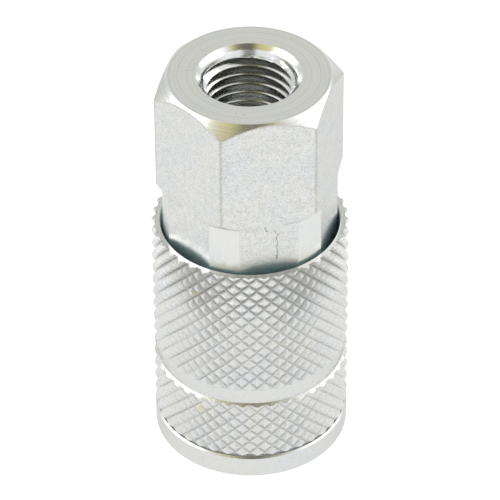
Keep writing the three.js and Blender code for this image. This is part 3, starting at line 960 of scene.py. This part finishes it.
def body_ring(rubber):
    """O-ring between the socket body's tail and the adapter."""
    z = sum(corner[2] for corner in box_mm("body_o_ring")) / 2
    path = [(9 * math.cos(t), 9 * math.sin(t), z) for t in np.arange(160) * TURN / 160]
    piece = tube("body_ring", path, 0.54, closed=True)
    return settle(piece, "socket", "nitrile_rubber", [rubber], "body_o_ring")


def spring_washer(steel):
    """Flat washer under the sleeve spring, its edges slightly rolled."""
    outline = [(10.55, 14.7), (11.9, 14.7), (11.9, 15.4), (10.55, 15.4)]
    piece = turned_object("thrust_washer", outline, 0.15)
    return settle(piece, "sleeve_carrier", "spring_steel", [steel], "sleeve_spring_washer")


def plug_seal(rubber):
    """Lipped packing for the plug's nose."""
    outline = [
        (5.7, 17.1), (6.9, 17.1), (7.4, 17.8), (8.05, 17.1), (8.05, 20.4), (6.3, 20.4), (5.7, 19.2),
    ]
    piece = turned_object("packing", outline, 0.25, steps=4)
    return settle(piece, "socket", "nitrile_rubber", [rubber], "plug_seal")


def valve_seat(brass):
    """Brass washer with the raised rim that the valve closes on."""
    outline = [(5.9, 20.5), (8.1, 20.5), (8.1, 21.9), (6.9, 21.9), (6.5, 22.3), (5.9, 22.3)]
    piece = turned_object("seat_washer", outline, 0.1)
    return settle(piece, "socket", "brass", [brass], "valve_seat")


def valve_poppet(brass):
    """Poppet with a slotted crown, disc, spring boss and stem."""
    outline = [
        (0, 21.6), (2.9, 21.6), (2.9, 17.6), (4.0, 17.6), (4.3, 17.9), (4.3, 23.4), (6.9, 23.4),
        (6.9, 24.9), (3.4, 24.9), (3.4, 26.4), (1.6, 26.4), (1.6, 41.2), (0, 41.2),
    ]
    piece = turned_object("poppet", outline, 0.1, 96, weld=True)
    cutters = []
    for turn in (0, math.pi / 2):
        bpy.ops.mesh.primitive_cube_add(size=1)
        cutter = bpy.context.active_object
        cutter.scale = (13 * MM, 2.2 * MM, 3.2 * MM)
        cutter.location = (0, 0, 19.1 * MM)
        cutter.rotation_euler = (0, 0, turn)
        cutters.append(cutter)
    bpy.context.view_layer.update()
    cut(piece, cutters)
    return settle(piece, "valve", "brass", [brass], "valve_poppet")


def valve_washer(rubber):
    """Flat rubber washer on the poppet's disc."""
    outline = [(4.4, 22.4), (6.9, 22.4), (6.9, 23.3), (4.4, 23.3)]
    piece = turned_object("disc_washer", outline, 0.12)
    return settle(piece, "valve", "nitrile_rubber", [rubber], "valve_washer")


def spring_guide(brass):
    """Three-armed plate that seats the valve spring and steers the stem."""
    low, high = (corner[2] for corner in box_mm("valve_spring_guide"))
    outline = [(1.75, low), (8.05, low), (8.05, high), (1.75, high)]
    piece = turned_object("guide_plate", outline, 0.12, 120)
    cutters = []
    half = math.pi / 3 - 0.32
    arc = [-half + 2 * half * i / 20 for i in range(21)]
    for k in range(3):
        shift = TURN * k / 3
        port = [(6.6, a + shift) for a in arc] + [(3.0, a + shift) for a in reversed(arc)]
        count = len(port)
        vertices = [(r * math.cos(a), r * math.sin(a), z) for z in (low - 1, high + 1) for r, a in port]
        sides = [(i, (i + 1) % count, count + (i + 1) % count, count + i) for i in range(count)]
        faces = sides + [tuple(range(count)), tuple(range(count, 2 * count))]
        cutters.append(new_object("port", vertices, faces))
    bpy.context.view_layer.update()
    cut(piece, cutters)
    return settle(piece, "socket", "brass", [brass], "valve_spring_guide")


# ---------------------------------------------------------------- stage

CAMERA_AZIMUTH = math.radians(-12.8)
CAMERA_ELEVATION = math.radians(38.995)
CAMERA_ROLL = math.radians(-0.364)
CAMERA_DISTANCE = 0.512433
CAMERA_LENS = 271.76
AIM_HEIGHT = 0.029969
AIM_SIDE = -0.000038

TENT_BACK = (0.80, 0.805, 0.76)
TENT_SIDE = (1.08, 1.09, 1.1)
TENT_LIT = (2.0, 2.0, 2.0)
OPENING_EDGE = (0.78, 0.70, 0.30)
OPENING = (0.15, 0.15, 0.12)


def camera():
    """Camera at the product shot's angle, a long lens half a metre away."""
    toward = Vector((math.sin(CAMERA_AZIMUTH), -math.cos(CAMERA_AZIMUTH), 0))
    right = Vector((math.cos(CAMERA_AZIMUTH), math.sin(CAMERA_AZIMUTH), 0))
    back = toward * math.cos(CAMERA_ELEVATION) + Vector((0, 0, math.sin(CAMERA_ELEVATION)))
    up = back.cross(right)
    tilted_right = right * math.cos(CAMERA_ROLL) + up * math.sin(CAMERA_ROLL)
    tilted_up = up * math.cos(CAMERA_ROLL) - right * math.sin(CAMERA_ROLL)
    aim = right * AIM_SIDE + Vector((0, 0, AIM_HEIGHT))
    lens = bpy.data.cameras.new("camera")
    lens.lens = CAMERA_LENS
    lens.sensor_width = 36
    lens.clip_start = 0.01
    made = bpy.data.objects.new("camera", lens)
    place = Matrix((tilted_right, tilted_up, back)).transposed().to_4x4()
    place.translation = aim + back * CAMERA_DISTANCE
    made.matrix_world = place
    bpy.context.scene.collection.objects.link(made)
    bpy.context.scene.camera = made


def floor():
    """Pale matt table, lit from below as a light table is."""
    bpy.ops.mesh.primitive_plane_add(size=6)
    made = bpy.context.active_object
    made.name = "table"
    made.location.z = -0.00002
    material = bpy.data.materials.new("table")
    material.use_nodes = True
    surface = material.node_tree.nodes["Principled BSDF"]
    surface.inputs["Base Color"].default_value = (0.12, 0.12, 0.12, 1)
    surface.inputs["Roughness"].default_value = 0.9
    surface.inputs["Emission Color"].default_value = (1, 1, 1, 1)
    surface.inputs["Emission Strength"].default_value = 0.95
    made.data.materials.append(material)


def soft_box(name, place, size, watts):
    """Square area light aimed at the object."""
    light = bpy.data.lights.new(name, "AREA")
    light.energy = watts
    light.size = size
    made = bpy.data.objects.new(name, light)
    made.location = place
    aim = Vector((0, 0, AIM_HEIGHT)) - Vector(place)
    made.rotation_mode = "QUATERNION"
    made.rotation_quaternion = aim.to_track_quat("-Z", "Y")
    bpy.context.scene.collection.objects.link(made)


def studio():
    """White light tent as the world: a greyer back wall, and a dark front opening with warm edges."""
    world = bpy.data.worlds.new("light_tent")
    world.use_nodes = True
    bpy.context.scene.world = world
    sky = Nodes(world.node_tree)
    direction = sky.node("ShaderNodeTexCoord").outputs["Generated"]
    toward = (math.sin(CAMERA_AZIMUTH), -math.cos(CAMERA_AZIMUTH), 0)
    right = (math.cos(CAMERA_AZIMUTH), math.sin(CAMERA_AZIMUTH), 0)
    front = sky.dot(direction, toward)
    side = sky.dot(direction, right)
    height = sky.dot(direction, (0, 0, 1))
    swing = sky.math("ARCTAN2", side, front)

    def ease(value, low, high):
        return sky.span(value, low, high, curve="SMOOTHSTEP")

    def opening(middle, narrow, wide, low, full):
        """A part of the tent around a bearing and above a height, soft at its edges."""
        aside = sky.math("ABSOLUTE", sky.math("SUBTRACT", swing, middle))
        return sky.math("MULTIPLY", ease(aside, wide, narrow), ease(height, low, full))

    zenith = ease(height, 0.955, 0.985)
    lit = sky.math("MULTIPLY", ease(sky.math("ABSOLUTE", side), 0.6, 0.8), ease(height, 0.15, 0.35))
    lit = sky.math("MULTIPLY", lit, ease(front, -0.55, -0.35))
    edges = sky.math("MAXIMUM", opening(-0.12, 0.98, 1.15, 0.66, 0.72), zenith)
    slit = opening(0.0, 0.14, 0.34, 0.12, 0.24)
    dark = sky.math("MAXIMUM", opening(0.16, 0.3, 0.72, 0.7, 0.77), slit)
    walls = sky.mix(ease(front, -0.75, 0.1), TENT_BACK, TENT_SIDE)
    walls = sky.mix(lit, walls, TENT_LIT)
    walls = sky.mix(edges, walls, OPENING_EDGE)
    tent = sky.mix(sky.math("MAXIMUM", dark, zenith), walls, OPENING)
    background = world.node_tree.nodes["Background"]
    sky.link(tent, background.inputs["Color"])
    background.inputs["Strength"].default_value = 1.0


def build():
    """Makes the finishes and every piece."""
    drawn = drawn_zinc()
    faced = turned_zinc("zinc_faced", "r", (0.2, 0.3), 3.0, 1.04, 2.6)
    banded = turned_zinc("zinc_banded", "z", (0.2, 0.3), 0.8, 0.94)
    bored = turned_zinc("zinc_bored", "z", (0.2, 0.3), 1.0)
    skimmed = turned_zinc("zinc_skimmed", "z", (0.28, 0.36), 0.4, 1.02)
    threaded = turned_zinc("zinc_threaded", "z", (0.16, 0.24), 0.3, 1.04)
    knurled = knurl_zinc()
    wire = wire_steel()
    polished = ball_steel()
    brass = turned_brass()
    rubber = nitrile()
    adapter(faced, drawn, skimmed, threaded)
    sleeve(banded, knurled, inner_zinc())
    socket_body(bored)
    for index in range(BALLS):
        locking_ball(index, polished)
    sleeve_coil = spring("sleeve_coil", "sleeve_spring", 11.1, 0.5, 4.5, wire)
    valve_coil = spring("valve_coil", "valve_spring", 4.1, 0.4, 5, wire)
    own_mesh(sleeve_coil)
    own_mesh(valve_coil)
    snap_ring(wire)
    body_ring(rubber)
    spring_washer(wire)
    plug_seal(rubber)
    valve_seat(brass)
    valve_poppet(brass)
    valve_washer(rubber)
    spring_guide(brass)


bpy.context.scene.view_settings.view_transform = "Standard"
camera()
floor()
studio()
soft_box("left_box", (-0.62, 0.12, 0.5), 0.4, 1.0)
soft_box("right_box", (0.6, 0.25, 0.5), 0.4, 1.0)
build()
